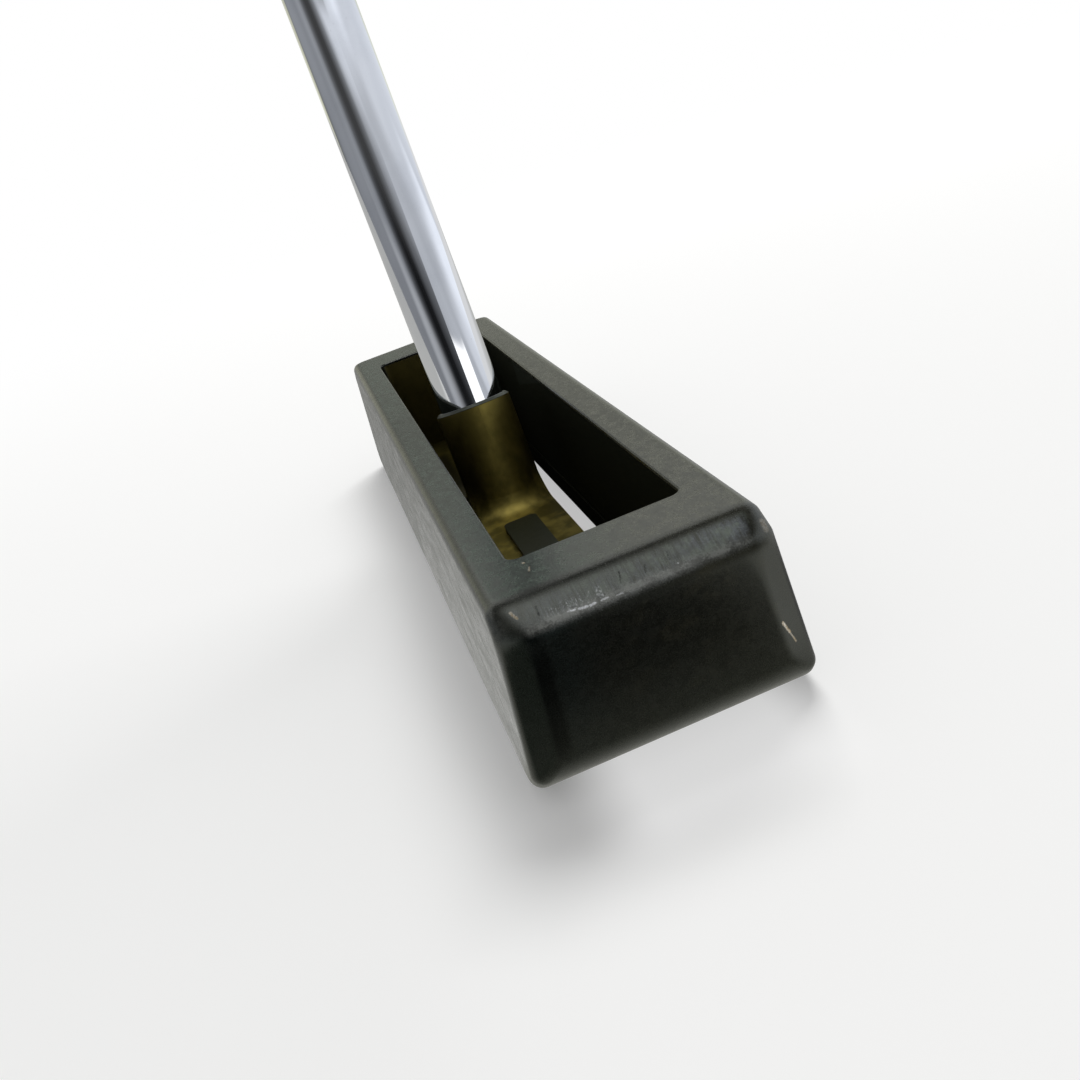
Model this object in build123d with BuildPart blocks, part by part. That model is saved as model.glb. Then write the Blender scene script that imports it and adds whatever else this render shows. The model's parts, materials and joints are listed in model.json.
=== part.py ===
"""Blade putter: open box head, post in the middle, chromed tube shaft, moulded rubber grip."""

import os
from math import cos, radians, sin, tan

from build123d import *

# Frame: millimetres, origin in the middle of the sole, +X towards the toe, +Z up.
# +Y is the target side for a right-handed player.

# Head casting
head_length = 117.5  # heel end to toe end
head_height = 19.6  # sole to rim
rim_width = 26.0  # face to face at the rim
face_loft = 4.8  # degrees; each face leans out towards the sole
rim_wall = 4.15  # the two long walls, measured at the rim
end_block = 11.25  # the solid weight at each end, measured at the rim
floor_thickness = 3.2
cavity_draft = 0.6  # degrees
cavity_corner_radius = 1.2
crown_bevel_run = 3.0  # bevel over each end, along the head
crown_bevel_drop = 2.0
cheek_bevel_run = 1.5  # bevel on each upright corner, along the head
cheek_bevel_inset = 2.75
roll_radius = 6.0  # where each end rolls under into the sole
corner_cut = 3.9  # dressed corners of the rim, along the head
corner_facing = (0.6, 0.35, 0.72)
edge_radius = 1.3
rim_inner_radius = 0.25

# Sole slots, one at the foot of each long wall
slot_width = 3.1
slot_length = 78.0
slot_land = 0.2  # ledge between a slot and the foot of its wall

# Post that carries the shaft, in one piece with the head
lie_angle = 76.75  # degrees between the shaft and the ground
post_foot = -8.6  # where the shaft's axis meets the sole, towards the heel
post_radius = 5.5
post_drop = 2.0  # from the rim down to the middle of the shoulder
post_flare = 3.0  # fillet at its foot
shoulder_chamfer = 0.35
spigot_length = 22.0  # above the shoulder, inside the tube
spigot_chamfer = 0.6

# Raised pad on the cavity floor, towards the toe
pad_start = 2.0
pad_length = 22.0
pad_width = 4.7
pad_height = 1.0
pad_offset = -0.9  # its middle lies off the head's middle by this much
pad_edge_radius = 0.8

# Shaft
putter_length = 889.0  # from the ground to the cap, along the axis
tip_diameter = 9.4
tip_parallel = 200.0
butt_diameter = 14.7
butt_parallel = 240.0
tube_wall = 0.5
glue_thickness = 0.12
fit_gap = 0.01  # between layers that are wrapped or glued on each other

# Grip
grip_length = 267.0
grip_tape_thickness = 0.25
grip_tape_margin = 6.0  # bare shaft under the mouth and at the butt
grip_cap_thickness = 4.0
grip_vent_radius = 1.2
grip_mouth_chamfer = 0.5
grip_corner_radius = 2.6
grip_cap_round = 2.0
# Sections from the mouth to the cap: share of the length, half width, flat side, back.
grip_sections = [
    (0.0, 9.0, 8.4, 8.9),
    (0.14, 10.2, 8.9, 10.0),
    (0.45, 11.3, 9.3, 11.3),
    (0.78, 12.6, 9.8, 13.2),
    (1.0, 13.4, 10.0, 13.8),
]

rim_half = rim_width / 2
sole_half = rim_half + head_height * tan(radians(face_loft))
end_at = head_length / 2
cavity_depth = head_height - floor_thickness
cavity_length = head_length - 2 * end_block
cavity_width = rim_width - 2 * rim_wall
wall_foot = cavity_width / 2 - cavity_depth * tan(radians(cavity_draft))
slot_middle = wall_foot - slot_land - slot_width / 2

axis_up = Vector(-cos(radians(lie_angle)), 0, sin(radians(lie_angle)))
axis_front = Vector(sin(radians(lie_angle)), 0, cos(radians(lie_angle)))
axis_foot = Vector(post_foot, 0, 0)
shoulder_at = (head_height - post_drop) / sin(radians(lie_angle))
shoulder_middle = axis_foot + axis_up * shoulder_at
post_start = floor_thickness / 2 / sin(radians(lie_angle))
spigot_radius = tip_diameter / 2 - tube_wall - glue_thickness - 2 * fit_gap
shaft_end = putter_length - grip_cap_thickness - fit_gap
taper_start = shoulder_at + tip_parallel
taper_end = shaft_end - butt_parallel
grip_start = putter_length - grip_length
crown_level = head_height - crown_bevel_drop


def across_shaft(distance):
    # Square to the shaft at this distance from the ground; x is the grip's flat side, y the width.
    return Plane(axis_foot + axis_up * distance, x_dir=axis_front, z_dir=axis_up)


# Lengthwise plane of the shaft: x is the radius, y the distance from the ground.
half_section = Plane(axis_foot, x_dir=axis_front, z_dir=axis_front.cross(axis_up))


def shaft_radius(distance):
    # Outside radius of the tube: parallel tip, even taper, parallel butt.
    share = min(max((distance - taper_start) / (taper_end - taper_start), 0), 1)
    return (tip_diameter + (butt_diameter - tip_diameter) * share) / 2


with BuildPart() as head:
    # Wedge section along the whole length
    with BuildSketch(Plane.YZ.offset(-end_at)):
        with BuildLine():
            Polyline(
                (-rim_half, head_height),
                (rim_half, head_height),
                (sole_half, 0),
                (-sole_half, 0),
                close=True,
            )
        make_face()
    extrude(amount=head_length)

    # Cheek bevels on the upright corners
    for end in (head.faces().sort_by(Axis.X)[0], head.faces().sort_by(Axis.X)[-1]):
        uprights = end.edges().filter_by(Axis.Y, reverse=True)
        chamfer(uprights, length=cheek_bevel_inset, length2=cheek_bevel_run, reference=end)

    # Side outline: bevelled crown at each end, rolled under at the bottom
    with BuildSketch(Plane.XZ.offset(-sole_half - 1)):
        with BuildLine():
            Line((-end_at + roll_radius, 0), (end_at - roll_radius, 0))
            RadiusArc((end_at - roll_radius, 0), (end_at, roll_radius), -roll_radius)
            Polyline(
                (end_at, roll_radius),
                (end_at, crown_level),
                (end_at - crown_bevel_run, head_height),
                (-end_at + crown_bevel_run, head_height),
                (-end_at, crown_level),
                (-end_at, roll_radius),
            )
            RadiusArc((-end_at, roll_radius), (-end_at + roll_radius, 0), -roll_radius)
        make_face()
    extrude(amount=2 * (sole_half + 1), mode=Mode.INTERSECT)

    # Dressed corners between the crown, the rim and the cheeks
    for along in (-1, 1):
        for across in (-1, 1):
            facing = (along * corner_facing[0], across * corner_facing[1], corner_facing[2])
            corner = (along * (end_at - corner_cut), across * rim_half, head_height)
            split(bisect_by=Plane(corner, z_dir=facing), keep=Keep.BOTTOM)

    # Softened edges
    rolls = head.edges().filter_by(Axis.Y).filter_by_position(Axis.Z, -1, roll_radius + 0.01)
    fillet(head.edges() - rolls, radius=edge_radius)

    # Cavity, open above
    with BuildSketch(Plane.XY.offset(head_height)):
        RectangleRounded(cavity_length, cavity_width, cavity_corner_radius)
    extrude(amount=-cavity_depth, taper=cavity_draft, mode=Mode.SUBTRACT)
    rim = head.faces().filter_by(Plane.XY).sort_by(Axis.Z)[-1]
    fillet(rim.inner_wires().edges(), radius=rim_inner_radius)

    # Leaning post with its shoulder, flared into the floor
    with BuildSketch(across_shaft(post_start)):
        Circle(post_radius)
    extrude(amount=shoulder_at - post_start)
    foot = head.edges().filter_by(GeomType.ELLIPSE).sort_by_distance((post_foot, 0, floor_thickness))[0]
    fillet(foot, radius=post_flare)
    shoulder = head.faces().filter_by(GeomType.PLANE).sort_by_distance(shoulder_middle)[0]
    chamfer(shoulder.edges(), length=shoulder_chamfer)

    # Spigot that the tube slides over
    with BuildSketch(across_shaft(shoulder_at)):
        Circle(spigot_radius)
    extrude(amount=spigot_length)
    spigot_top = head.faces().sort_by(Axis.Z)[-1]
    chamfer(spigot_top.edges(), length=spigot_chamfer)

    # Slots through the sole, milled up past the flare
    with BuildSketch(Plane.XY):
        with Locations((0, slot_middle), (0, -slot_middle)):
            SlotOverall(slot_length, slot_width)
    extrude(amount=floor_thickness + post_flare, mode=Mode.SUBTRACT)

    # Bare pad
    with BuildSketch(Plane.XY.offset(floor_thickness)):
        with Locations((pad_start + pad_length / 2, pad_offset)):
            RectangleRounded(pad_length, pad_width, pad_edge_radius)
    extrude(amount=pad_height)
head.part.label = "head"

with BuildPart() as shaft:
    with BuildSketch(half_section):
        with BuildLine():
            Polyline(
                (tip_diameter / 2 - tube_wall, shoulder_at),
                (tip_diameter / 2, shoulder_at),
                (tip_diameter / 2, taper_start),
                (butt_diameter / 2, taper_end),
                (butt_diameter / 2, shaft_end),
                (butt_diameter / 2 - tube_wall, shaft_end),
                (butt_diameter / 2 - tube_wall, taper_end),
                (tip_diameter / 2 - tube_wall, taper_start),
                close=True,
            )
        make_face()
    revolve(axis=Axis(axis_foot, axis_up))
shaft.part.label = "shaft"

with BuildPart() as shaft_glue:
    # Film between the spigot and the tube
    with BuildSketch(across_shaft(shoulder_at)):
        Circle(tip_diameter / 2 - tube_wall - fit_gap)
        Circle(spigot_radius + fit_gap, mode=Mode.SUBTRACT)
    extrude(amount=spigot_length - spigot_chamfer)
shaft_glue.part.label = "shaft_glue"

with BuildPart() as grip_tape:
    # Wrapped on the tube, and kept only where the grip covers it
    with BuildSketch(half_section):
        inner = [(shaft_radius(s) + fit_gap, s) for s in (taper_start, taper_end, shaft_end)]
        outer = [(r + grip_tape_thickness, s) for r, s in reversed(inner)]
        with BuildLine():
            Polyline(*inner, *outer, close=True)
        make_face()
    revolve(axis=Axis(axis_foot, axis_up))
    with BuildSketch(across_shaft(grip_start + grip_tape_margin)):
        Circle(butt_diameter)
    extrude(amount=shaft_end - grip_start - 2 * grip_tape_margin, mode=Mode.INTERSECT)
grip_tape.part.label = "grip_tape"

with BuildPart() as grip:
    for share, half_width, flat_side, back in grip_sections:
        with BuildSketch(across_shaft(grip_start + grip_length * share)):
            side = flat_side - grip_corner_radius
            flat_half = half_width - grip_corner_radius
            round_start = half_width - back
            with BuildLine():
                Line((flat_side, -flat_half), (flat_side, flat_half))
                RadiusArc((flat_side, flat_half), (side, half_width), -grip_corner_radius)
                Line((side, half_width), (round_start, half_width))
                CenterArc((round_start, 0), half_width, start_angle=90, arc_size=180)
                Line((round_start, -half_width), (side, -half_width))
                RadiusArc((side, -half_width), (flat_side, -flat_half), -grip_corner_radius)
            make_face()
    loft(ruled=True)
    fillet(grip.faces().sort_by(Axis.Z)[-1].edges(), radius=grip_cap_round)
    chamfer(grip.faces().sort_by(Axis.Z)[0].edges(), length=grip_mouth_chamfer)
    # Bore over the taped tube, closed by the cap
    with BuildSketch(half_section):
        wrap = grip_tape_thickness + 2 * fit_gap
        bore_end = shaft_end + fit_gap
        walls = [(shaft_radius(s) + wrap, s) for s in (taper_start, taper_end, bore_end)]
        with BuildLine():
            Polyline((0, taper_start), *walls, (0, bore_end), close=True)
        make_face()
    revolve(axis=Axis(axis_foot, axis_up), mode=Mode.SUBTRACT)
    # Vent in the cap
    with BuildSketch(across_shaft(putter_length)):
        Circle(grip_vent_radius)
    extrude(amount=-grip_cap_thickness, mode=Mode.SUBTRACT)
grip.part.label = "grip"

os.makedirs("parts", exist_ok=True)
for piece in (head, shaft, shaft_glue, grip_tape, grip):
    export_step(piece.part, f"parts/{piece.part.label}.step")
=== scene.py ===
# Blade putter: finishes, moulded grip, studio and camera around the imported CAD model
import json
import math

import bmesh
import bpy
from mathutils import Matrix, Vector


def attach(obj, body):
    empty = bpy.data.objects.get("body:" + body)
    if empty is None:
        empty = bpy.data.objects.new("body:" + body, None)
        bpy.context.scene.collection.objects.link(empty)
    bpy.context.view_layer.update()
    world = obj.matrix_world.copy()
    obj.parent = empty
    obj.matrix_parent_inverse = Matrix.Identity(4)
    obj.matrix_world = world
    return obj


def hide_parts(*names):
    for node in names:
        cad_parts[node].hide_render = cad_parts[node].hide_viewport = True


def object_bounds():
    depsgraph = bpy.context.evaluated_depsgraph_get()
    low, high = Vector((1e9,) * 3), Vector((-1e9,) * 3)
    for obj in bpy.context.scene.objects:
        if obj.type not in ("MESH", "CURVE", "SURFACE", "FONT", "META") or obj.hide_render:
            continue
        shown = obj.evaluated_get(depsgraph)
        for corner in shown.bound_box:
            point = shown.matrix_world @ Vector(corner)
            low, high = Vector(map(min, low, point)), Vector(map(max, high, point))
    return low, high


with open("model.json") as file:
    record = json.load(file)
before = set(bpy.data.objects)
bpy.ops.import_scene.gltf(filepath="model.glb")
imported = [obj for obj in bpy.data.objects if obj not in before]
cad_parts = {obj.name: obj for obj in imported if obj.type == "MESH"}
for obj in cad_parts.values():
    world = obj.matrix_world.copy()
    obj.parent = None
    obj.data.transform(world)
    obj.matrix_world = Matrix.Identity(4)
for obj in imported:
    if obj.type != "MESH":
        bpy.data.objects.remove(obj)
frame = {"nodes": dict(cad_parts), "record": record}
cadLow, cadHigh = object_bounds()
mmPerMetre = 1000.0
mounts = {mount["name"]: mount for mount in frame["record"]["mounts"]}
gripMiddle = Vector(mounts["hand_hold"]["pos_m"])
shaftUp = Vector(mounts["hand_hold"]["axis"]).normalized()
# Where the shaft's axis meets the sole, in millimetres along the head
postFoot = (gripMiddle.x - shaftUp.x / shaftUp.z * gripMiddle.z) * mmPerMetre
print("frame loaded:", sorted(frame["nodes"]))


class Wire:
    # A node socket that adds its own maths nodes when it is used in an expression.
    def __init__(self, sheet, socket):
        self.sheet = sheet
        self.socket = socket
        self.isNumber = socket.type in ("VALUE", "INT", "BOOLEAN")

    def maths(self, operation, *values, clamp=False):
        settings = {"operation": operation, "use_clamp": clamp}
        return self.sheet.add("ShaderNodeMath", settings, dict(enumerate((self, *values))))

    def vector(self, operation, *values, out="Vector"):
        settings = {"operation": operation}
        return self.sheet.add("ShaderNodeVectorMath", settings, dict(enumerate((self, *values))), out)

    def pick(self, operation, other):
        # A number goes through a Math node, a colour or a vector through Vector Math
        if self.isNumber:
            return self.maths(operation, other)
        if operation == "MULTIPLY" and (isinstance(other, (int, float)) or getattr(other, "isNumber", False)):
            return self.sheet.scaled(self, other)
        return self.vector(operation, other)

    def __add__(self, other):
        return self.pick("ADD", other)

    __radd__ = __add__

    def __sub__(self, other):
        return self.pick("SUBTRACT", other)

    def __rsub__(self, other):
        # For numbers only, as is the reflected division
        return self.sheet.add("ShaderNodeMath", {"operation": "SUBTRACT"}, {0: other, 1: self})

    def __mul__(self, other):
        return self.pick("MULTIPLY", other)

    __rmul__ = __mul__

    def __truediv__(self, other):
        return self.pick("DIVIDE", other)

    def __rtruediv__(self, other):
        return self.sheet.add("ShaderNodeMath", {"operation": "DIVIDE"}, {0: other, 1: self})

    def __neg__(self):
        return self * -1

    def size(self):
        return self.maths("ABSOLUTE")

    def most(self, other):
        return self.maths("MAXIMUM", other)

    def clamped(self):
        # Held between 0 and 1
        return self.maths("ADD", 0.0, clamp=True)

    def dot(self, other):
        return self.vector("DOT_PRODUCT", other, out="Value")

    def length(self):
        return self.vector("LENGTH", out="Value")

    def rise(self, low, high):
        # Soft step from 0 at low to 1 at high
        return self.sheet.add(
            "ShaderNodeMapRange",
            {"interpolation_type": "SMOOTHSTEP"},
            {"Value": self, "From Min": low, "From Max": high},
        )

    def band(self, low, high, soft):
        # 1 between low and high, fading over soft on both sides
        return self.rise(low - soft, low) * (1 - self.rise(high, high + soft))


class Sheet:
    # The node tree of one material or of the world, with one way of adding a node.
    def __init__(self, tree):
        self.tree = tree
        tree.nodes.clear()

    def add(self, kind, settings=None, sockets=None, out=0):
        node = self.tree.nodes.new(kind)
        for key, value in (settings or {}).items():
            if key == "stops":
                self.setStops(node.color_ramp, value)
            else:
                setattr(node, key, value)
        for key, value in (sockets or {}).items():
            if isinstance(value, Wire):
                self.tree.links.new(value.socket, node.inputs[key])
            else:
                node.inputs[key].default_value = value
        return Wire(self, node.outputs[out]) if node.outputs else node

    def setStops(self, ramp, stops):
        while len(ramp.elements) < len(stops):
            ramp.elements.new(0.5)
        for element, (place, colour) in zip(ramp.elements, stops):
            element.position = place
            element.color = (*colour, 1)

    def part(self, wire, out):
        # Another output of the node that a wire comes from
        return Wire(self, wire.socket.node.outputs[out])

    def split(self, vector):
        # The three numbers in a vector
        first = self.add("ShaderNodeSeparateXYZ", sockets={"Vector": vector})
        return first, self.part(first, "Y"), self.part(first, "Z")

    def scaled(self, vector, amount):
        return self.add("ShaderNodeVectorMath", {"operation": "SCALE"}, {"Vector": vector, "Scale": amount})

    def blend(self, share, first, second):
        # Two colours through a Mix node, which has them at inputs 6 and 7 and gives its colour at output 2
        sockets = {0: share}
        for place, colour in ((6, first), (7, second)):
            sockets[place] = colour if isinstance(colour, Wire) else (*colour, 1)
        return self.add("ShaderNodeMix", {"data_type": "RGBA"}, sockets, out=2)

    def mix(self, share, first, second):
        # Two numbers, plain or wired
        return self.add("ShaderNodeMix", {"data_type": "FLOAT"}, {0: share, 2: first, 3: second})

    def noise(self, place, scale, detail=2.0, roughness=0.5, stretch=None):
        if stretch:
            place = place.vector("MULTIPLY", stretch)
        return self.add(
            "ShaderNodeTexNoise",
            sockets={"Vector": place, "Scale": scale, "Detail": detail, "Roughness": roughness},
        )

    def ramp(self, value, stops):
        return self.add("ShaderNodeValToRGB", {"stops": stops}, {0: value})

    def bump(self, height, distance, strength, normal=None):
        # The surface's normal tipped by a height, starting from another normal where one is given
        sockets = {"Strength": strength, "Distance": distance, "Height": height}
        if normal:
            sockets["Normal"] = normal
        return self.add("ShaderNodeBump", sockets=sockets)


def newFinish(name):
    material = bpy.data.materials.new(name)
    material.use_nodes = True
    return material, Sheet(material.node_tree)


def millimetres(sheet):
    # The object sits at the origin, so its own coordinates are the frame's
    return sheet.add("ShaderNodeTexCoord", out="Object") * mmPerMetre


def closeFinish(sheet, sockets):
    # The surface shader: a plain value is the same all over, a wire varies
    shader = sheet.add("ShaderNodeBsdfPrincipled", sockets=sockets)
    sheet.add("ShaderNodeOutputMaterial", sockets={"Surface": shader})


def dress(objectName, material):
    mesh = frame["nodes"][objectName].data
    mesh.materials.clear()
    mesh.materials.append(material)


headFinish = {
    # Patina by place on the casting, with painted light on the top and the crown and a painted shade line at
    # a crease
    "patina": (0.0056, 0.0060, 0.0042),
    "patinaOlive": (0.0085, 0.0080, 0.0040),
    "patinaTeal": (0.0035, 0.0072, 0.0072),
    "patinaBrown": (0.0140, 0.0125, 0.0062),
    "litTopGreen": (0.019, 0.031, 0.023),
    "litTopWarm": (0.040, 0.040, 0.030),
    "litCrownLilac": (0.043, 0.048, 0.058),
    "litCrownGreen": (0.040, 0.048, 0.041),
    "sideDark": (0.022, 0.023, 0.017),
    "sideGrey": (0.068, 0.071, 0.056),
    "cheekGreen": (0.0050, 0.0100, 0.0065),
    "paintedCreaseShade": (0.0012, 0.0022, 0.0026),
    "lowerEndTone": (0.030, 0.032, 0.024),
    "worn": (0.36, 0.37, 0.35),
    "sheen": (0.95, 1.0, 0.90),
    "ior": 1.70,
    # Bare metal in the cavity, with painted shade on the long walls, in the slots, on the post's sides and
    # beside the post
    "brass": (0.42, 0.335, 0.080),
    "tarnish": (0.155, 0.125, 0.026),
    "heelTarnish": (0.047, 0.039, 0.007),
    "sootAndShadeTone": (0.020, 0.021, 0.0135),
    "paintedPostShade": (0.018, 0.015, 0.006),
    "shadeBesidePost": (0.006, 0.005, 0.002),
    "padGrey": (0.0050, 0.0060, 0.0010),
    "shoulderGrey": (0.038, 0.043, 0.034),
    # Fresh marks; the silver is a painted glint on small polished nicks
    "silverGlintTone": (0.85, 0.87, 0.90),
    "nickGold": (0.45, 0.33, 0.18),
    "nickPale": (0.78, 0.74, 0.66),
    "dent": (0.003, 0.003, 0.003),
    # Roughness before its mottling
    "patinaRoughness": 0.27,
    "bareRoughness": 0.50,
    "sootAndShadeRoughness": 0.80,
    # Relief, in metres
    "wornRadius": 0.0022,
    "grainHeight": 0.000018,
    "scratchHeight": 0.000016,
    "reliefStrength": 0.6,
    # Places, in millimetres from the middle of the sole: from and to, x along the head, y across, z up
    "cavityEndX": (47.62, 47.72),
    "cavitySideY": (8.93, 9.02),
    "cavityZ": (0.10, 19.10),
    "roundedX": (53.0, 55.0),
    "roundedZ": (13.5, 16.5),
    "crownX": (54.7, 58.0),
    "handledY": (-7.5, 4.5),
    "dullZ": (5.0, 12.0),
    "lowerEndZ": (1.0, 13.5),
    "faceLean": 0.084,  # how far a long face draws in per unit of height
    "creaseY": (11.0, 11.7),
    "creaseZ": (7.0, 14.5),
    "glintFleckY": (-7.5, -3.0),
    "glintFleckZ": (17.8, 18.5),
    "postX": (-22.0, -2.0),
    "postZ": (5.5, 8.0),
    "paintedPostShadeZ": (9.0, 17.0),
    "shoulderX": (-21.0, -4.0),
    "shoulderUp": (17.55, 17.75),  # along the shaft's axis
    "besidePostX": (-38.0, -12.0),
    "besidePostY": (3.2, 4.6),
    "besidePostZ": (3.4, 5.0),
    "heelSideX": (-24.0, -12.0),
    "floorZ": (3.5, 6.0),
    "sootAndShadeY": (7.9, 8.5),
    "sootAndShadeZ": (2.6, 3.1),
    "padX": (2.0, 24.0),
    "padY": (-3.3, 1.5),
    "padZ": (3.45, 4.30),
    # Small damage, in millimetres: from, to, half width, strength
    # Painted glints at small polished nicks on the crown's lower edge
    "silverNicksAndGlints": [
        ((58.08, -6.54, 18.04), (58.11, -6.46, 18.02), 0.05, 0.8),
        ((58.13, -6.25, 18.01), (58.16, -5.92, 17.99), 0.08, 1.0),
        ((58.22, -5.56, 17.93), (58.27, -4.80, 17.89), 0.11, 1.0),
        ((58.29, -4.56, 17.87), (58.27, -4.14, 17.90), 0.11, 1.0),
        ((58.28, -3.55, 17.89), (58.24, -2.92, 17.92), 0.08, 0.7),
        ((58.33, -2.14, 17.83), (58.36, -1.60, 17.80), 0.06, 0.6),
        ((57.86, 3.82, 18.19), (57.90, 3.86, 18.16), 0.06, 0.5),
    ],
    "brassNicks": [
        ((56.45, -11.00, 19.14), (57.06, -10.67, 18.73), 0.13, 0.40),
        ((56.80, 12.46, 18.22), (57.45, 12.33, 17.70), 0.30, 0.20),
        ((58.60, 11.40, 8.93), (58.39, 11.91, 7.62), 0.14, 1.0),
        ((58.36, 11.98, 7.42), (58.22, 12.33, 6.37), 0.10, 0.8),
        ((49.06, -7.74, 19.60), (49.12, -7.68, 19.60), 0.13, 0.7),
        ((50.36, -7.47, 19.60), (51.14, -7.68, 19.60), 0.09, 0.35),
    ],
    "darkNicks": [
        ((56.77, -8.83, 18.92), (57.55, -8.85, 18.40), 0.05, 0.9),
        ((56.73, -1.05, 18.95), (57.61, -1.35, 18.36), 0.05, 0.7),
        ((57.01, 1.24, 18.76), (57.64, 0.97, 18.34), 0.05, 0.6),
        ((56.71, 3.49, 18.96), (57.30, 3.33, 18.56), 0.05, 0.6),
        ((57.34, -0.72, 2.12), (57.22, -0.60, 2.02), 0.12, 0.9),
    ],
}


def surveyHead(head, look):
    # Gives the head's sheet what its colour, wear and relief share: places, directions, noises and faces
    head.place = millimetres(head)
    head.x, head.y, head.z = head.split(head.place)
    endward = head.x.size()
    head.inside = (
        (1 - endward.rise(*look["cavityEndX"]))
        * (1 - head.y.size().rise(*look["cavitySideY"]))
        * head.z.band(*look["cavityZ"], 0.08)
    )
    # Round the two ends the edges are worn rounder than their small radius, most of all at the crown
    rounded = endward.rise(*look["roundedX"]) * (0.2 + 0.8 * head.z.rise(*look["roundedZ"]))
    head.normal = head.add("ShaderNodeBevel", {"samples": 8}, {"Radius": rounded * look["wornRadius"]})
    head.normalX, head.normalY, head.normalZ = head.split(head.normal)

    head.cloud = head.noise(head.place, 0.13, 3.0, 0.55)
    head.mottle = head.noise(head.place, 0.85, 4.0, 0.6)
    head.speckle = head.noise(head.place, 2.4, 4.0, 0.7)
    head.grain = head.noise(head.place, 6.0, 3.0, 0.65)
    head.lengthwise = head.noise(head.place, 1.0, 3.0, 0.65, stretch=(0.10, 5.5, 5.5))
    head.slopewise = head.noise(head.place, 1.0, 3.0, 0.7, stretch=(0.35, 6.0, 0.35))
    head.patch = head.noise(head.place, 0.60, 5.0, 0.68, stretch=(0.28, 1.0, 1.0))
    # The same place, shaken so that small marks get a broken outline
    head.shaken = head.place + (head.part(head.grain, "Color") - (0.5, 0.5, 0.5)) * 0.30

    head.isTop = head.normalZ.rise(0.97, 0.999)
    head.isEnd = head.normalX.size().rise(0.80, 0.97)
    head.isSide = head.normalY.size().rise(0.90, 0.985)
    head.isSole = (-head.normalZ).rise(0.6, 0.95)
    head.isSquare = 1 - head.normalY.size().rise(0.08, 0.24)  # turned towards neither long face
    head.isCrown = head.normalZ.band(0.76, 0.90, 0.06) * head.normalX.size().rise(0.40, 0.50) * head.isSquare
    # Where the back cheek meets the end, for a painted shade line
    fromFace = (head.z * look["faceLean"] - head.y).band(*look["creaseY"], 0.9)
    head.backCrease = fromFace * head.isEnd * head.z.band(*look["creaseZ"], 3.5)


def outerPatina(head, look):
    # Teal towards the back corner, olive towards the front, greyer where it was handled; the top and the
    # crown painted lighter than the patina, standing for the light they catch
    y, cloud, mottle = head.y, head.cloud, head.mottle
    drift = y + (cloud - 0.5) * 12.0 + (mottle - 0.5) * 4.0
    colour = head.blend(drift.rise(-2.0, 9.0) * 0.9, look["patina"], look["patinaOlive"])
    teal = (1 - drift.rise(-9.5, -4.0)) * head.isEnd * 0.9
    colour = head.blend(teal, colour, look["patinaTeal"])
    cloudAcross = head.noise(head.place, 0.9, 3.0, 0.6, stretch=(1.0, 0.30, 0.45))
    brown = head.isEnd * cloudAcross.rise(0.48, 0.66) * drift.rise(-6.0, 2.0) * 0.8
    colour = head.blend(brown, colour, look["patinaBrown"])

    # Painted light: the top and the crown get lighter copies of the patina, the crown lighter still towards
    # +y
    litTopTone = head.blend((y + (cloud - 0.5) * 9.0).rise(-9.0, 6.0), look["litTopGreen"], look["litTopWarm"])
    alongCrown = head.x.size().band(*look["crownX"], 0.7)
    litTop = head.isTop * (0.75 + 0.5 * (mottle - 0.5)) * (1 - alongCrown)
    colour = head.blend(litTop, colour, litTopTone)
    lilacToGreen = (mottle * 0.5 + cloud * 0.5).rise(0.42, 0.56)
    litCrownTone = head.blend(lilacToGreen, look["litCrownLilac"], look["litCrownGreen"])
    brushed = head.slopewise * 0.55 + mottle * 0.45 - 0.5
    colour = head.blend(head.isCrown * (0.60 + 5.0 * brushed), colour, litCrownTone * (1.35 + 0.05 * y))
    darkToGrey = (head.lengthwise * 0.35 + head.patch * 0.65).rise(0.34, 0.66)
    sideTone = head.blend(darkToGrey, look["sideDark"], look["sideGrey"])
    colour = head.blend(head.isSide, colour, sideTone)
    uneven = 1.6 * (head.speckle - 0.5) + 1.2 * (mottle - 0.5) + 0.8 * (head.grain - 0.5)
    colour = colour * (1.0 + uneven * (1 + head.isTop * 1.2)).most(0.40)

    # The cheek towards the back is greener, with a painted shade line where it meets the end
    backCheek = (-head.normalY).rise(0.26, 0.40) * head.normalX.rise(0.60, 0.80)
    colour = head.blend(backCheek * 0.8, colour, look["cheekGreen"])
    colour = head.blend(head.backCrease * 0.8, colour, look["paintedCreaseShade"])
    # The ends lighter towards the bottom
    lowerEndLighter = (1 - head.z.rise(*look["lowerEndZ"])) * head.isEnd * (0.5 + 1.0 * (mottle - 0.2))
    return head.blend(lowerEndLighter, colour, look["lowerEndTone"])


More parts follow.
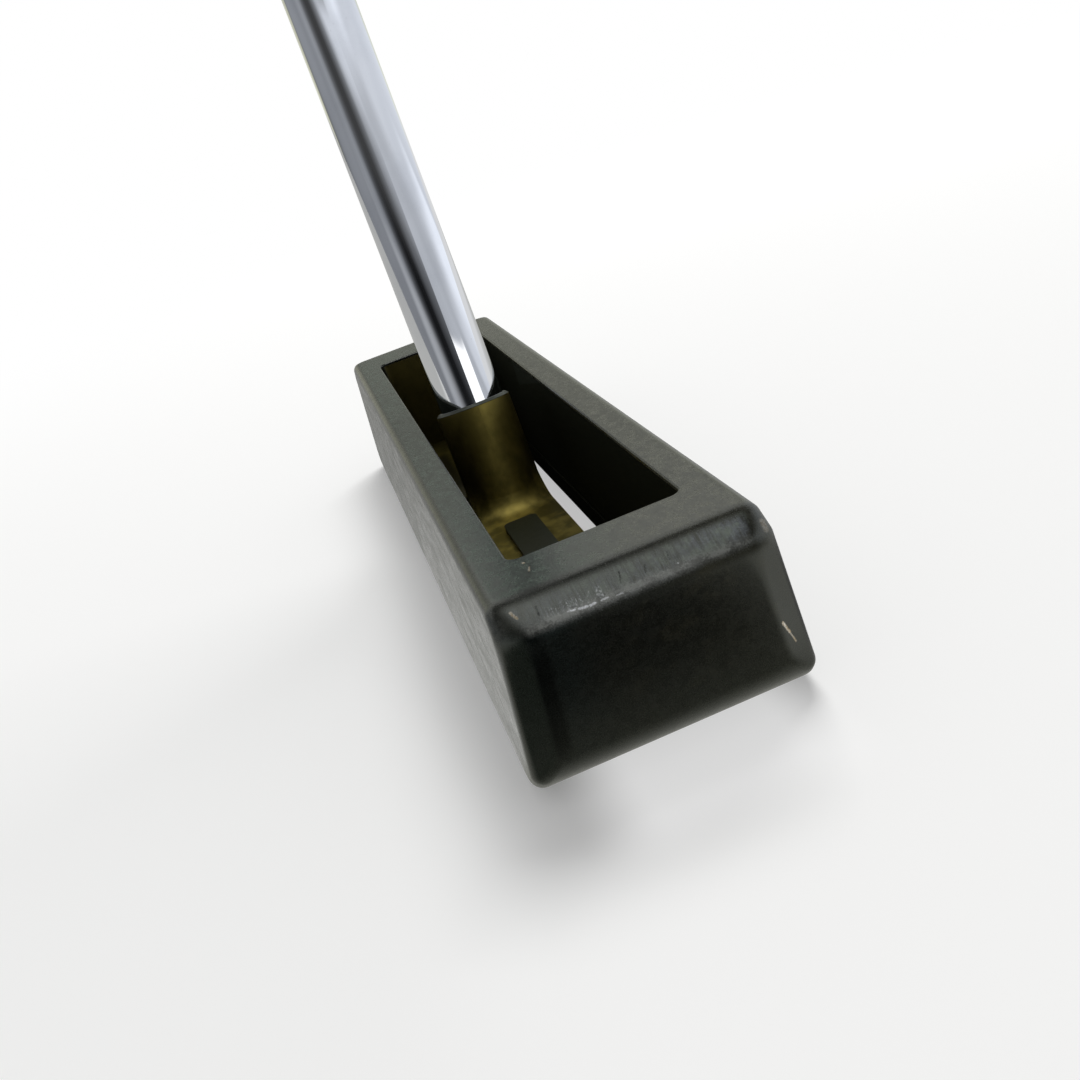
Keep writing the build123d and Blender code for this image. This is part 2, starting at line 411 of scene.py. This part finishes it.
def wornAndHighlightShare(head, look):
    # How far the patina is rubbed off, and along the crown's lower edge a painted highlight on top of the
    # rubbing; on an edge between two outer faces the normal belongs to neither
    mottle, grain = head.mottle, head.grain
    longEdge = head.normalZ.band(0.35, 0.80, 0.12) * head.normalY.size().band(0.45, 0.92, 0.10)
    # Along the crown's lower edge: rubbed metal with a painted highlight
    crownEdgeRubAndHighlight = head.normalX.size().band(0.67, 0.84, 0.05) * head.normalZ.band(0.50, 0.81, 0.03)
    crownEdgeRubAndHighlight = crownEdgeRubAndHighlight * head.isSquare
    handled = 0.40 + 0.60 * head.y.band(*look["handledY"], 2.0)
    rub = longEdge * 0.12 * (mottle * 0.7 + grain * 0.6).rise(0.50, 0.95)
    rub = rub + crownEdgeRubAndHighlight * handled * (0.45 + 1.0 * (mottle * 0.6 + grain * 0.5).rise(0.46, 0.66))
    soleRub = head.isSole * head.lengthwise.rise(0.42, 0.72) * head.cloud.rise(0.35, 0.65)
    sideStreaks = (head.lengthwise * 0.55 + grain * 0.45).rise(0.54, 0.70)
    sideRub = head.isSide * sideStreaks * head.patch.rise(0.46, 0.60)
    return (rub + soleRub * 0.5 + sideRub * 0.30) * (1 - head.inside)


def cavityColour(head, look):
    # Tarnished bare metal on the floor, the post and the ends, with soot and painted shade on the long walls
    # and in the slots; painted shade also on the post's sides, beside the post and towards the +y wall
    x, y, z = head.x, head.y, head.z
    blotch = head.noise(head.place, 0.28, 2.0, 0.5, stretch=(1.0, 1.0, 0.6))
    onPost = x.band(*look["postX"], 1.0) * z.rise(*look["postZ"])
    tarnished = (blotch * 0.95 + head.mottle * 0.25).rise(0.46, 0.74) * (1 - onPost * 0.5) + onPost * 0.32
    colour = head.blend(tarnished, look["brass"], look["tarnish"])
    # Painted light and shadow: the cavity floor lighter towards the wall at -y and darker towards the wall at
    # +y
    colour = colour * (1.0 - 0.055 * y * (1 - z.rise(*look["floorZ"])))
    colour = head.blend((1 - x.rise(*look["heelSideX"])) * 0.85, colour, look["heelTarnish"])
    # Painted shade: the post darker on its sides turned towards the long walls, less so higher up
    turned = (head.normalY - 0.08).size().rise(0.36, 0.82) * onPost
    colour = head.blend(turned * (0.72 - 0.3 * z.rise(*look["paintedPostShadeZ"])), colour, look["paintedPostShade"])
    # Painted shade on the floor low beside the post, towards the long walls
    shadeBesidePost = x.band(*look["besidePostX"], 3.0) * (1 - z.rise(*look["besidePostZ"]))
    shadeBesidePost = shadeBesidePost * y.size().rise(*look["besidePostY"])
    colour = head.blend(shadeBesidePost * 0.85, colour, look["shadeBesidePost"])
    # Soot and painted shade: the long walls and the slots below the floor, near black
    sootAndShade = y.size().rise(*look["sootAndShadeY"]).most(1 - z.rise(*look["sootAndShadeZ"]))
    colour = head.blend(sootAndShade, colour, look["sootAndShadeTone"])
    onPad = z.band(*look["padZ"], 0.15) * x.band(*look["padX"], 0.15) * y.band(*look["padY"], 0.12)
    colour = head.blend(onPad, colour, look["padGrey"])
    upShaft = (head.place - (postFoot, 0.0, 0.0)).dot(tuple(shaftUp))
    onShoulder = upShaft.rise(*look["shoulderUp"]) * x.band(*look["shoulderX"], 0.5)
    colour = head.blend(onShoulder, colour, look["shoulderGrey"])
    bare = head.inside * (1 - onPad.most(onShoulder).most(sootAndShade))
    return colour, sootAndShade, bare


def nickShare(head, nicks):
    # Scratches, dents and painted glints, each along a short line
    total = None
    for start, end, halfWidth, strength in nicks:
        span = Vector(end) - Vector(start)
        fromStart = head.shaken - start
        share = (fromStart.dot(tuple(span)) / span.length_squared).clamped()
        reach = (fromStart - head.scaled(tuple(span), share)).length()
        mark = (1 - reach.rise(halfWidth * 0.5, halfWidth * 1.4)) * strength
        total = mark if total is None else total.most(mark)
    return total


def headRelief(head, look, dents):
    # Cast grain all over and dents in it, then scratches along the faces and across the crown
    strength = look["reliefStrength"]
    height = (head.grain * 0.5 + head.speckle * 0.4 + head.mottle * 0.8) * (1 + head.isTop * 0.5)
    grained = head.bump(height - dents * 1.5, look["grainHeight"], strength, head.normal)
    scratches = (
        head.isSide.most(head.isSole) * (head.lengthwise * 1.6 + head.patch * 4.0)
        + head.isCrown * head.slopewise * 0.7
        + head.isTop * head.lengthwise * 0.2
    )
    return head.bump(scratches, look["scratchHeight"], strength, grained)


def makeHeadFinish(look):
    material, head = newFinish("patinatedBronze")
    surveyHead(head, look)
    worn = wornAndHighlightShare(head, look)
    # Rubbed patina, which along the crown's lower edge is also a painted highlight
    colour = head.blend(worn, outerPatina(head, look), look["worn"])
    bareColour, sootAndShade, bare = cavityColour(head, look)
    colour = head.blend(head.inside, colour, bareColour)

    # Painted glints: silver flecks and small polished nicks along the crown's lower edge, painted near white
    glintFleckPlace = head.isCrown * head.z.band(*look["glintFleckZ"], 0.35) * head.y.band(*look["glintFleckY"], 1.2)
    glintFlecks = glintFleckPlace * (head.slopewise * 0.5 + head.grain * 0.5).rise(0.52, 0.66)
    silverGlints = nickShare(head, look["silverNicksAndGlints"]).most(glintFlecks * 0.4)
    gold = nickShare(head, look["brassNicks"])
    dents = nickShare(head, look["darkNicks"])
    colour = head.blend(silverGlints, colour, look["silverGlintTone"])
    goldToPale = (head.grain * 0.6 + head.speckle * 0.4).rise(0.44, 0.56)
    colour = head.blend(gold, colour, head.blend(goldToPale, look["nickGold"], look["nickPale"]))
    colour = head.blend(dents, colour, look["dent"])

    underCrown = head.normalX.size().rise(0.83, 0.87) * head.normalZ.rise(0.04, 0.20)
    dull = head.isEnd * head.z.rise(*look["dullZ"]) * 0.18
    metallic = (bare * 0.8).most(head.inside * sootAndShade).most(worn * 0.5).most(gold * 0.5)
    metallic = metallic.most(underCrown * 0.85).most(dull).most(head.backCrease * 0.5)
    roughness = look["patinaRoughness"] + (head.mottle - 0.5) * 0.16 + (head.speckle - 0.5) * 0.20
    roughness = roughness + head.isSide * (head.patch - 0.5) * 0.4 - head.isTop * 0.02
    roughness = head.mix(head.inside, roughness, look["bareRoughness"] + (head.mottle - 0.5) * 0.2)
    roughness = head.mix(head.inside * sootAndShade, roughness, look["sootAndShadeRoughness"])
    closeFinish(
        head,
        {
            "IOR": look["ior"],
            "Specular Tint": (*look["sheen"], 1),
            "Base Color": colour,
            "Metallic": metallic,
            "Roughness": roughness,
            "Normal": headRelief(head, look, dents),
        },
    )
    return material


dress("head", makeHeadFinish(headFinish))
print("head finished")

shaftFinish = {
    "chrome": (0.80, 0.815, 0.84),
    "smudge": (0.74, 0.755, 0.785),
    "pit": (0.35, 0.34, 0.32),
    "roughness": 0.035,
    "smudgeRoughness": 0.05,
    "pitRoughness": 0.10,
    "waveHeight": 0.0000012,
    "waveStrength": 0.35,
}


def makeShaftFinish(look):
    material, sheet = newFinish("chromePlate")
    place = millimetres(sheet)
    smudges = sheet.noise(place, 0.09, 4.0, 0.6).rise(0.46, 0.72)
    drawn = sheet.noise(place, 1.0, stretch=(3.0, 3.0, 0.05))
    pits = sheet.noise(place, 3.2).rise(0.70, 0.80)
    colour = sheet.blend(smudges, look["chrome"], look["smudge"])
    colour = sheet.blend(pits * 0.25, colour, look["pit"])
    closeFinish(
        sheet,
        {
            "Base Color": colour,
            "Metallic": 1.0,
            "Roughness": look["roughness"] + smudges * look["smudgeRoughness"] + pits * look["pitRoughness"],
            "Normal": sheet.bump(drawn, look["waveHeight"], look["waveStrength"]),
        },
    )
    return material


glueFinish = {
    "dark": (0.16, 0.15, 0.12),
    "light": (0.24, 0.22, 0.18),
    "roughness": 0.25,
    "cloudRoughness": 0.2,
}


def makeGlueFinish(look):
    material, sheet = newFinish("curedEpoxy")
    clouds = sheet.noise(millimetres(sheet), 0.8, 3.0)
    colour = sheet.blend(clouds, look["dark"], look["light"])
    roughness = look["roughness"] + clouds * look["cloudRoughness"]
    closeFinish(sheet, {"Base Color": colour, "Roughness": roughness})
    return material


tapeFinish = {
    "dark": (0.60, 0.53, 0.39),
    "light": (0.72, 0.66, 0.50),
    "roughness": 0.85,
    "creaseHeight": 0.00004,
    "creaseStrength": 0.5,
}


def makeTapeFinish(look):
    material, sheet = newFinish("creasedTape")
    creases = sheet.noise(millimetres(sheet), 1.0, 3.0, stretch=(0.4, 0.4, 3.0))
    closeFinish(
        sheet,
        {
            "Base Color": sheet.blend(creases, look["dark"], look["light"]),
            "Roughness": look["roughness"],
            "Normal": sheet.bump(creases, look["creaseHeight"], look["creaseStrength"]),
        },
    )
    return material


dress("shaft", makeShaftFinish(shaftFinish))
dress("shaft_glue", makeGlueFinish(glueFinish))
dress("grip_tape", makeTapeFinish(tapeFinish))
print("shaft finished")

gripShape = {
    "length": 0.267,
    # Share of the length from the mouth, half width, flat side, back
    "sections": [
        (0.0, 0.0090, 0.0084, 0.0089),
        (0.14, 0.0102, 0.0089, 0.0100),
        (0.45, 0.0113, 0.0093, 0.0113),
        (0.78, 0.0126, 0.0098, 0.0132),
        (1.0, 0.0134, 0.0100, 0.0138),
    ],
    "cornerRadius": 0.0026,
    "mouthRound": 0.0005,
    "capRound": 0.0020,
    "boreRadius": 0.00749,
    "boreDepth": 0.010,
    # A line pressed in all round near each end: distance from that end, depth
    "mouthLine": [(0.004, 0.0), (0.009, 0.0), (0.0095, 0.0003), (0.0105, 0.0003), (0.011, 0.0)],
    "capLine": [(0.0125, 0.0), (0.0118, 0.00035), (0.0108, 0.00035), (0.0101, 0.0)],
    # Rings on the cap's face: depth, share of its outline, and then of the vent's radius
    "capRings": [(0.0, 0.72), (0.0005, 0.69), (0.0005, 0.62), (0.0, 0.59)],
    "ventRings": [(0.0002, 1.5), (0.0008, 1.0), (0.0036, 1.0)],
    "ventRadius": 0.0012,
    "ribStart": 0.017,
    "ribEnd": 0.246,
    "ribPitch": 0.0034,
    "ribDepth": 0.00042,
    # Share of the pitch, share of the depth
    "ribProfile": [(0.0, 0.0), (0.10, 0.75), (0.19, 1.0), (0.28, 0.75), (0.38, 0.0), (0.69, -0.10)],
    "ribFade": (0.15, 0.50),  # share of the straight side over which a rib grows to its depth
    "flatSteps": 8,
    "cornerSteps": 5,
    "sideSteps": 6,
    "backSteps": 24,
    "mouthSteps": 4,
    "capSteps": 6,
}
gripFinish = {
    "rubber": (0.017, 0.017, 0.018),
    "handled": (0.034, 0.034, 0.033),
    "pebbleDark": (0.010, 0.010, 0.010),
    "dotGrey": (0.052, 0.052, 0.050),
    "borderDark": (0.006, 0.006, 0.006),
    "roughness": 0.52,
    "pebbleHeight": 0.00003,
    "pebbleStrength": 0.8,
    # Millimetres: the dots' pitch, then half widths and half lengths at which their field and its border end
    "dotPitch": 2.2,
    "fieldAcross": (6.0, 6.3),
    "fieldAlong": (112.0, 113.0),
    "borderAcross": (6.5, 6.9),
    "borderAlong": (113.5, 114.0),
    "dotHeight": 9.0,  # as a share of the pebble's height, as is the border's depth
    "borderDepth": 9.0,
}
acrossGrip = Vector((0, 1, 0))
frontOfGrip = acrossGrip.cross(shaftUp)


def sectionAt(shape, share):
    # Half width, flat side and back, straight between the given sections
    rows = shape["sections"]
    for low, high in zip(rows, rows[1:]):
        if share <= high[0] or high is rows[-1]:
            part = (share - low[0]) / (high[0] - low[0])
            return [a + (b - a) * part for a, b in zip(low[1:], high[1:])]


def gripRing(shape, share, inset, groove):
    # One ring: flat front, two corners, straight sides, half-round back; a groove only bites round the back
    halfWidth, flat, back = sectionAt(shape, share)
    corner = shape["cornerRadius"]
    cornerX = flat - corner
    cornerY = halfWidth - corner
    middle = halfWidth - back
    fadeStart, fadeEnd = shape["ribFade"]
    half = []  # x, y, outward x, outward y, share of the groove
    for k in range(shape["flatSteps"] + 1):
        half.append((flat, cornerY * k / shape["flatSteps"], 1.0, 0.0, 0.0))
    for k in range(1, shape["cornerSteps"] + 1):
        angle = math.pi / 2 * k / shape["cornerSteps"]
        outX, outY = math.cos(angle), math.sin(angle)
        half.append((cornerX + corner * outX, cornerY + corner * outY, outX, outY, 0.0))
    for k in range(1, shape["sideSteps"] + 1):
        part = k / shape["sideSteps"]
        bite = min(max((part - fadeStart) / (fadeEnd - fadeStart), 0), 1)
        half.append((cornerX + (middle - cornerX) * part, halfWidth, 0.0, 1.0, bite))
    for k in range(1, shape["backSteps"] + 1):
        angle = math.pi / 2 * (1 + k / shape["backSteps"])
        outX, outY = math.cos(angle), math.sin(angle)
        half.append((middle + halfWidth * outX, halfWidth * outY, outX, outY, 1.0))
    mirrored = [(px, -py, outX, -outY, bite) for px, py, outX, outY, bite in reversed(half[1:-1])]
    ring = []
    for px, py, outX, outY, bite in half + mirrored:
        drop = inset + groove * bite
        ring.append((px - outX * drop, py - outY * drop))
    return ring


def gripRows(shape):
    # Where the rings stand: distance from the mouth, inset all round, depth of the groove
    length, mouth, cap = shape["length"], shape["mouthRound"], shape["capRound"]
    rows = []
    for k in range(shape["mouthSteps"] + 1):
        angle = math.pi / 2 * k / shape["mouthSteps"]
        rows.append((mouth * (1 - math.cos(angle)), mouth * (1 - math.sin(angle)), 0.0))
    rows += [(distance, inset, 0.0) for distance, inset in shape["mouthLine"]]
    at = shape["ribStart"]
    while at < shape["ribEnd"]:
        for share, depth in shape["ribProfile"]:
            rows.append((at + share * shape["ribPitch"], 0.0, depth * shape["ribDepth"]))
        at += shape["ribPitch"]
    rows.append((at, 0.0, 0.0))
    rows += [(length - fromCap, inset, 0.0) for fromCap, inset in shape["capLine"]]
    for k in range(shape["capSteps"] + 1):
        angle = math.pi / 2 * k / shape["capSteps"]
        rows.append((length - cap * (1 - math.sin(angle)), cap * (1 - math.cos(angle)), 0.0))
    return rows


def makeGrip(shape, material):
    length, cap = shape["length"], shape["capRound"]
    build = bmesh.new()

    def place(distance, px, py):
        return gripMiddle + shaftUp * (distance - length / 2) + frontOfGrip * px + acrossGrip * py

    def circle(distance, radius, like):
        # A round ring that keeps the directions of the points it joins to
        made = []
        for vert in like:
            out = vert.co - gripMiddle
            angle = math.atan2(out.dot(acrossGrip), out.dot(frontOfGrip))
            made.append(build.verts.new(place(distance, radius * math.cos(angle), radius * math.sin(angle))))
        return made

    rings = []
    for distance, inset, groove in gripRows(shape):
        ring = gripRing(shape, distance / length, inset, groove)
        rings.append([build.verts.new(place(distance, px, py)) for px, py in ring])
    capFace = []
    for depth, share in shape["capRings"]:
        ring = gripRing(shape, 1.0, cap, 0.0)
        capFace.append([build.verts.new(place(length - depth, px * share, py * share)) for px, py in ring])
    vent = [
        circle(length - depth, shape["ventRadius"] * share, rings[-1])
        for depth, share in shape["ventRings"]
    ]
    bore = [circle(distance, shape["boreRadius"], rings[0]) for distance in (shape["boreDepth"], 0.0)]
    chain = bore + rings + capFace + vent
    count = len(rings[0])
    for lower, upper in zip(chain, chain[1:]):
        for k in range(count):
            following = (k + 1) % count
            build.faces.new((lower[k], lower[following], upper[following], upper[k]))
    build.faces.new(vent[-1])
    bmesh.ops.recalc_face_normals(build, faces=build.faces)
    mesh = bpy.data.meshes.new("gripSkin")
    build.to_mesh(mesh)
    build.free()
    mesh.shade_smooth()
    mesh.materials.append(material)
    grip = bpy.data.objects.new("gripSkin", mesh)
    bpy.context.scene.collection.objects.link(grip)
    return grip


def makeRubber(look):
    material, sheet = newFinish("mouldedRubber")
    place = millimetres(sheet)
    across = sheet.split(place)[1]
    along = place.dot(tuple(shaftUp))
    worn = sheet.noise(place, 0.05, 3.0)
    pebble = sheet.noise(place, 4.0, 3.0, 0.6)

    # Raised dots in offset rows, in a field on the flat front, with a pressed line along either side
    rowOffset = (along / look["dotPitch"]).maths("FLOOR").maths("PINGPONG", 1.0) * 0.5
    cellAcross = (across / look["dotPitch"] + rowOffset).maths("FRACT") - 0.5
    cellAlong = (along / look["dotPitch"]).maths("FRACT") - 0.5
    fromDot = (cellAcross * cellAcross + cellAlong * cellAlong).maths("SQRT")
    faceNormal = sheet.add("ShaderNodeNewGeometry", out="Normal")
    isFront = faceNormal.dot(tuple(frontOfGrip)).rise(0.95, 0.99)
    fromMiddle = (along - gripMiddle.dot(shaftUp) * mmPerMetre).size()
    inWidth = 1 - across.size().rise(*look["fieldAcross"])
    inLength = 1 - fromMiddle.rise(*look["fieldAlong"])
    dots = (1 - fromDot.rise(0.20, 0.32)) * (isFront * inWidth * inLength)
    onLine = across.size().band(*look["borderAcross"], 0.15)
    border = onLine * isFront * (1 - fromMiddle.rise(*look["borderAlong"]))

    colour = sheet.blend(worn.rise(0.4, 0.7) * 0.8, look["rubber"], look["handled"])
    colour = sheet.blend(pebble.rise(0.3, 0.7) * 0.3, colour, look["pebbleDark"])
    colour = sheet.blend(dots * 0.9, colour, look["dotGrey"])
    colour = sheet.blend(border * 0.8, colour, look["borderDark"])
    height = pebble * 0.25 + dots * look["dotHeight"] - border * look["borderDepth"]
    closeFinish(
        sheet,
        {
            "Base Color": colour,
            "Roughness": look["roughness"] + (worn - 0.5) * 0.25 + (pebble - 0.5) * 0.12 - dots * 0.08,
            "Normal": sheet.bump(height, look["pebbleHeight"], look["pebbleStrength"]),
        },
    )
    return material


gripSkin = makeGrip(gripShape, makeRubber(gripFinish))
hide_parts("grip")
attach(gripSkin, "root")
print("grip made:", len(gripSkin.data.polygons), "faces")

black = (0.0, 0.0, 0.0)
white = (1.0, 1.0, 1.0)
surroundings = {
    "ambient": 0.36,
    # What polished metal mirrors, round the object: degrees from the toe, counted towards the front, and tone
    "ring": [
        (-180, 0.22), (-150, 0.33), (-120, 0.31), (-95, 0.28), (-72, 0.31), (-62, 0.24), (-52, 0.10),
        (-42, 0.035), (-33, 0.010), (-20, 0.012), (-11, 0.060), (0, 0.15), (9, 0.34), (18, 0.50),
        (28, 0.53), (40, 0.49), (50, 0.53), (64, 0.70), (90, 0.74), (115, 0.85), (140, 0.70), (180, 0.22),
    ],
    "ringTint": (0.97, 1.01, 1.09),
    "heelwardTint": (1.0, 0.985, 0.80),
    "ringSkew": -0.352,  # turns that the ring drifts per unit of height
    "ringLevel": 0.26,  # the height at which it doesn't drift
    # What stands in front of the ring: from and to in degrees, then its tone
    "backFlag": (-100, -75),
    "frontGlow": (42, 80),
    "lowStrip": (-78, -56),
    "lowStripTone": 0.12,
    "heelScreen": (-172.08, -149.4),
    "heelScreenTone": (0.38, 0.38, 0.35),
    "toewardHaze": (0.045, 0.045, 0.045),
    "window": (5, 40),
    "windowTone": (1.5, 1.5, 1.5),
    "windowTop": (0.256, 0.274),
    "windowSlant": 0.75,
    # Overhead, by height: over the heel side and over the toe side
    "overHeel": [(0.0, 2.0), (0.46, 2.0), (0.55, 0.75), (0.62, 0.08), (0.86, 0.08), (0.95, 0.85), (1.0, 2.0)],
    "overToe": [(0.0, 0.20), (0.49, 0.20), (0.55, 0.11), (0.86, 0.11), (0.95, 0.75), (1.0, 1.75)],
}


def turnAt(degrees):
    # A direction round the object as a share of the whole turn, with the toe at a half
    return 0.5 + degrees / 360


def turnsOf(name):
    return [turnAt(degrees) for degrees in surroundings[name]]


def mirroredRing(sheet, alongHead, toeward, turn, height):
    # The ring of tones, drifting with height, and what stands in front of it
    skewed = (turn + (surroundings["ringLevel"] - height) * surroundings["ringSkew"]).maths("FRACT")
    tint = surroundings["ringTint"]
    ring = sheet.ramp(
        skewed,
        [(turnAt(degrees), tuple(tone * share for share in tint)) for degrees, tone in surroundings["ring"]],
    )
    behindFlag = 1 - skewed.rise(*turnsOf("backFlag"))
    dimmed = 0.22 * behindFlag * (1 - height.rise(0.0, 0.22))
    ring = ring * (1.0 - dimmed + 0.45 * toeward * height.rise(0.41, 0.49))
    inGlow = skewed.band(*turnsOf("frontGlow"), 0.02)
    ring = ring * (1.0 + 0.45 * inGlow * (1 - height.rise(0.08, 0.24)))
    onScreen = turn.band(*turnsOf("heelScreen"), 0.015) * (1 - height.rise(0.16, 0.30))
    ring = ring + sheet.blend(onScreen, black, surroundings["heelScreenTone"])
    ring = ring + sheet.blend(toeward * height.rise(0.27, 0.36), black, surroundings["toewardHaze"])
    heelward = 1 - alongHead.rise(-0.88, -0.70)
    ring = sheet.blend(heelward, ring, ring * surroundings["heelwardTint"])
    onStrip = skewed.band(*turnsOf("lowStrip"), 0.05) * (1 - height.rise(0.16, 0.23))
    ring = ring + onStrip * surroundings["lowStripTone"]
    slanted = height + (turn - 0.5) * surroundings["windowSlant"]
    inWindow = turn.band(*turnsOf("window"), 0.008) * (1 - slanted.rise(*surroundings["windowTop"]))
    return sheet.blend(inWindow, ring, surroundings["windowTone"])


def makeWorld():
    world = bpy.data.worlds.new("studioWorld")
    world.use_nodes = True
    bpy.context.scene.world = world
    sheet = Sheet(world.node_tree)
    alongHead, acrossHead, height = sheet.split(sheet.add("ShaderNodeTexCoord", out="Generated"))
    turn = acrossHead.maths("ARCTAN2", alongHead) / (2 * math.pi) + 0.5
    toeward = alongHead.rise(-0.6, -0.1)
    ring = mirroredRing(sheet, alongHead, toeward, turn, height)
    overHeel, overToe = (
        sheet.ramp(height, [(place, (tone,) * 3) for place, tone in surroundings[name]])
        for name in ("overHeel", "overToe")
    )
    overhead = sheet.blend(toeward, overHeel, overToe)
    overShare = sheet.mix(toeward, height.rise(0.36, 0.54), height.rise(0.495, 0.53))
    mirrored = sheet.blend(overShare, ring, overhead)
    isSeen = sheet.add("ShaderNodeLightPath", out="Is Camera Ray")
    isMirrored = sheet.part(isSeen, "Is Glossy Ray")
    tone = sheet.blend(isMirrored, (surroundings["ambient"],) * 3, mirrored)
    tone = sheet.blend(isSeen, tone, white)
    background = sheet.add("ShaderNodeBackground", sockets={"Color": tone, "Strength": 1.0})
    sheet.add("ShaderNodeOutputWorld", sockets={"Surface": background})


floorFinish = {
    "size": 30.0,
    "gap": 0.0002,  # left under the sole
    "paint": (0.95, 0.95, 0.94),
    # Share of plain white that the camera sees instead of the lit paint; more of it under the head and at the
    # toe is painted light
    "glow": 0.22,
    "paintedLightUnder": 0.22,
    "paintedLightAtToeShare": 0.38,
    "farGlow": 1.0,
    # What polished metal mirrors of the floor, by place, with painted shadow under the head, before the toe
    # and beside the front
    "mirrorHeelward": (0.50, 0.50, 0.485),
    "mirrorToeward": (0.74, 0.74, 0.72),
    "mirroredShadeBesideFront": (0.25, 0.25, 0.25),
    "mirrorFarFront": (0.80, 0.80, 0.80),
    "mirroredShadowUnder": (0.008, 0.008, 0.008),
    "mirroredShadowBeforeToe": [(0.47, 0.47, 0.43), (0.085, 0.085, 0.075), (0.034, 0.034, 0.030)],
}


def makeFloorFinish(look):
    # Places are in millimetres from the middle of the sole
    material, sheet = newFinish("paleFloor")
    place = millimetres(sheet)
    x, y = sheet.split(place)[:2]
    far = place.length().rise(90.0, 480.0)
    # Under the head: painted shadow in what metal mirrors, painted light where the camera sees the floor
    # through the slots
    paintedShadowAndGlowUnder = (1 - x.size().rise(48.0, 54.0)) * (1 - y.size().rise(10.0, 13.0))
    # Painted light on the floor at the toe, lightening its contact shadow
    paintedLightAtToe = x.band(53.0, 64.0, 8.0) * y.band(-5.0, 8.0, 8.0)

    # Painted shade beside the head on the +y side, in what metal mirrors
    shadeBesideFront = x.band(-70.0, 52.0, 12.0) * y.band(15.0, 45.0, 6.0)
    # Painted shadow in front of the toe, in what metal mirrors, lightest closest to the toe
    shadowBeforeToe = x.rise(46.0, 53.0) * (1 - y.rise(12.0, 27.0)) * y.rise(-90.0, -60.0)
    near, middle, distant = look["mirroredShadowBeforeToe"]
    mirroredToeShadow = sheet.blend(x.rise(56.0, 61.5), near, middle)
    mirroredToeShadow = sheet.blend(x.rise(66.0, 84.0), mirroredToeShadow, distant)
    mirrored = sheet.blend(x.rise(-70.0, 50.0), look["mirrorHeelward"], look["mirrorToeward"])
    mirrored = sheet.blend(shadeBesideFront, mirrored, look["mirroredShadeBesideFront"])
    mirrored = sheet.blend(y.rise(60.0, 300.0), mirrored, look["mirrorFarFront"])
    mirrored = sheet.blend(paintedShadowAndGlowUnder, mirrored, look["mirroredShadowUnder"])
    mirrored = sheet.blend(shadowBeforeToe, mirrored, mirroredToeShadow)

    isSeen = sheet.add("ShaderNodeLightPath", out="Is Camera Ray")
    isMirrored = sheet.part(isSeen, "Is Glossy Ray")
    isThrough = sheet.part(isSeen, "Is Transmission Ray")
    # Painted light under the head and at the toe, on top of the floor's plain glow
    nearGlowAndPaintedLight = look["glow"] + paintedShadowAndGlowUnder * look["paintedLightUnder"] + paintedLightAtToe * look["paintedLightAtToeShare"]
    glowShare = isSeen.most(isThrough) * sheet.mix(far, nearGlowAndPaintedLight, look["farGlow"])
    paint = sheet.add("ShaderNodeBsdfDiffuse", sockets={"Color": (*look["paint"], 1)})
    glowTone = sheet.blend(isMirrored, white, mirrored)
    glow = sheet.add("ShaderNodeEmission", sockets={"Color": glowTone, "Strength": 1.0})
    surface = sheet.add("ShaderNodeMixShader", sockets={0: glowShare.most(isMirrored), 1: paint, 2: glow})
    sheet.add("ShaderNodeOutputMaterial", sockets={"Surface": surface})
    return material


def makeFloor(look):
    half = look["size"] / 2
    build = bmesh.new()
    corners = ((-half, -half), (half, -half), (half, half), (-half, half))
    build.faces.new([build.verts.new((x, y, 0.0)) for x, y in corners])
    mesh = bpy.data.meshes.new("floor")
    build.to_mesh(mesh)
    build.free()
    mesh.materials.append(makeFloorFinish(look))
    floor = bpy.data.objects.new("floor", mesh)
    floor.location.z = cadLow.z - look["gap"]
    bpy.context.scene.collection.objects.link(floor)


keyLamp = {
    "place": (-0.62, 0.42, 1.20),
    "aim": (0.0, 0.0, 0.02),
    "size": 0.7,
    "power": 15.0,
}


def makeLamp(name, settings):
    data = bpy.data.lights.new(name, "AREA")
    data.shape = "SQUARE"
    data.size = settings["size"]
    data.energy = settings["power"]
    lamp = bpy.data.objects.new(name, data)
    lamp.location = settings["place"]
    beam = Vector(settings["aim"]) - Vector(settings["place"])
    lamp.rotation_euler = beam.to_track_quat("-Z", "Y").to_euler()
    lamp.visible_glossy = False  # polished metal mirrors the world's ring instead
    bpy.context.scene.collection.objects.link(lamp)


makeWorld()
makeFloor(floorFinish)
makeLamp("keyLamp", keyLamp)
print("studio lit")

cameraView = {
    "place": (0.13778, -0.01772, 0.06073),
    "aim": (0.02907, -0.00282, 0.01214),
    "roll": -18.87,  # degrees
    "focalShare": 1.001,  # focal length over the width of the sensor
    "nearest": 0.005,
}


def makeCamera(view):
    data = bpy.data.cameras.new("camera")
    data.lens = data.sensor_width * view["focalShare"]
    data.clip_start = view["nearest"]
    camera = bpy.data.objects.new("camera", data)
    gaze = Vector(view["aim"]) - Vector(view["place"])
    roll = Matrix.Rotation(math.radians(view["roll"]), 3, "Z")
    turned = gaze.to_track_quat("-Z", "Y").to_matrix() @ roll
    camera.matrix_world = Matrix.Translation(view["place"]) @ turned.to_4x4()
    bpy.context.scene.collection.objects.link(camera)
    return camera


bpy.context.scene.camera = makeCamera(cameraView)
bpy.context.scene.view_settings.view_transform = "Standard"
print("camera set")
